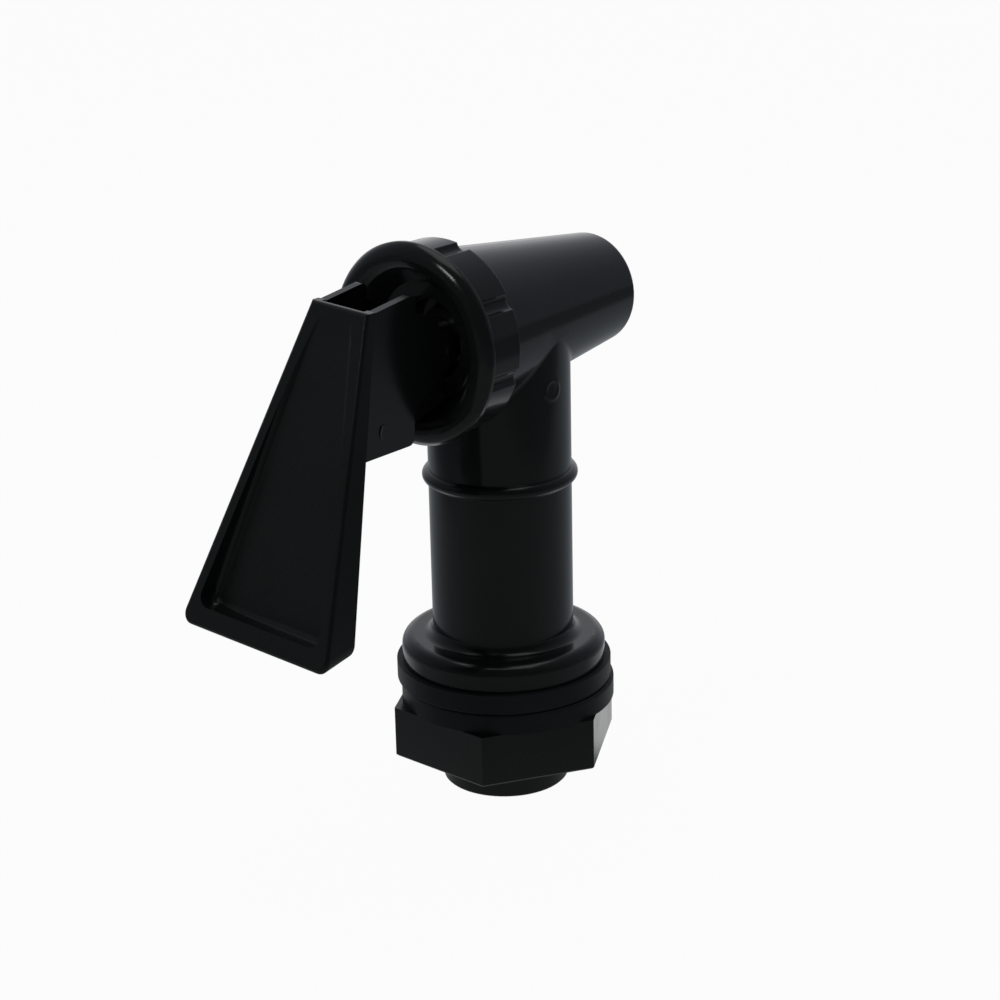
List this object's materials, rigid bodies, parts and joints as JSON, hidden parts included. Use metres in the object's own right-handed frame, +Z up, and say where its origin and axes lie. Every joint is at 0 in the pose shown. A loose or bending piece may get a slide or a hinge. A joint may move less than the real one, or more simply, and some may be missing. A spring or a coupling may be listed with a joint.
{
  "type": "beverage dispensing faucet",
  "caption": "Black plastic dispensing faucet: threaded shank with washers and hex lock nut, upright barrel, side nozzle, fluted screw bonnet and a paddle lever that lifts a sprung stem.",
  "frame": {"origin": "centre of the shank's inlet end", "axes": "+Z up the shank and barrel from the inlet end, +X out of the nozzle, so the bonnet and lever are at -X; in use the shank is level and the nozzle points down"},
  "size_m": [0.0843, 0.0404, 0.1],
  "materials": {
    "gloss_black": "glossy bluish-black moulding",
    "nut_black": "semi-matte moulding with slightly worn edges",
    "washer_rubber": "matte, fine grain",
    "silicone": "satin milky silicone",
    "stem_black": "satin moulding",
    "stainless": "drawn stainless wire and ground pin"
  },
  "bodies": {
    "body": {"faucet_body": "gloss_black", "flange_gasket": "washer_rubber"},
    "washer": {"nut_washer": "washer_rubber"},
    "nut": {"lock_nut": "nut_black"},
    "cup": {"seat_cup": "silicone"},
    "bonnet": {"bonnet": "gloss_black"},
    "swivel": {"closing_spring": "stainless"},
    "lever": {"handle": "gloss_black", "handle_pin": "stainless"},
    "stem": {"valve_stem": "stem_black"}
  },
  "joints": [
    {"name": "washer_slide", "type": "slide", "parent": "body", "child": "washer", "axis": [0, 0, -1], "range_m": [0, 0.0062]},
    {"name": "nut_turn", "type": "hinge", "parent": "washer", "child": "nut", "pos_m": [0, 0, 0.011], "axis": [0, 0, -1], "range_deg": [0, 1225]},
    {"name": "bonnet_lift", "type": "slide", "parent": "body", "child": "cup", "axis": [-1, 0, 0], "range_m": [0, 0.0044]},
    {"name": "bonnet_turn", "type": "hinge", "parent": "cup", "child": "bonnet", "pos_m": [-0.017, 0, 0.0832], "axis": [-1, 0, 0], "range_deg": [0, 750]},
    {"name": "handle_swivel", "type": "hinge", "parent": "cup", "child": "swivel", "pos_m": [-0.017, 0, 0.0832], "axis": [-1, 0, 0], "continuous": true},
    {"name": "lever_press", "type": "hinge", "parent": "swivel", "child": "lever", "pos_m": [-0.01945, 0.00039, 0.07561], "axis": [0, -0.9987, -0.0511], "range_deg": [0, 20], "stiffness_Nm_per_rad": 0.03, "springref_deg": -34.38},
    {"name": "stem_lift", "type": "slide", "parent": "swivel", "child": "stem", "axis": [-1, 0, 0], "range_m": [0, 0.0028], "deforming": ["closing_spring", "seat_cup"]}
  ],
  "couplings": [
    {"joint": "washer_slide", "follows": "nut_turn", "m_per_rad": 0.00028873},
    {"joint": "bonnet_lift", "follows": "bonnet_turn", "m_per_rad": 0.00033423},
    {"joint": "stem_lift", "follows": "lever_press", "m_per_rad": 0.00762}
  ]
}
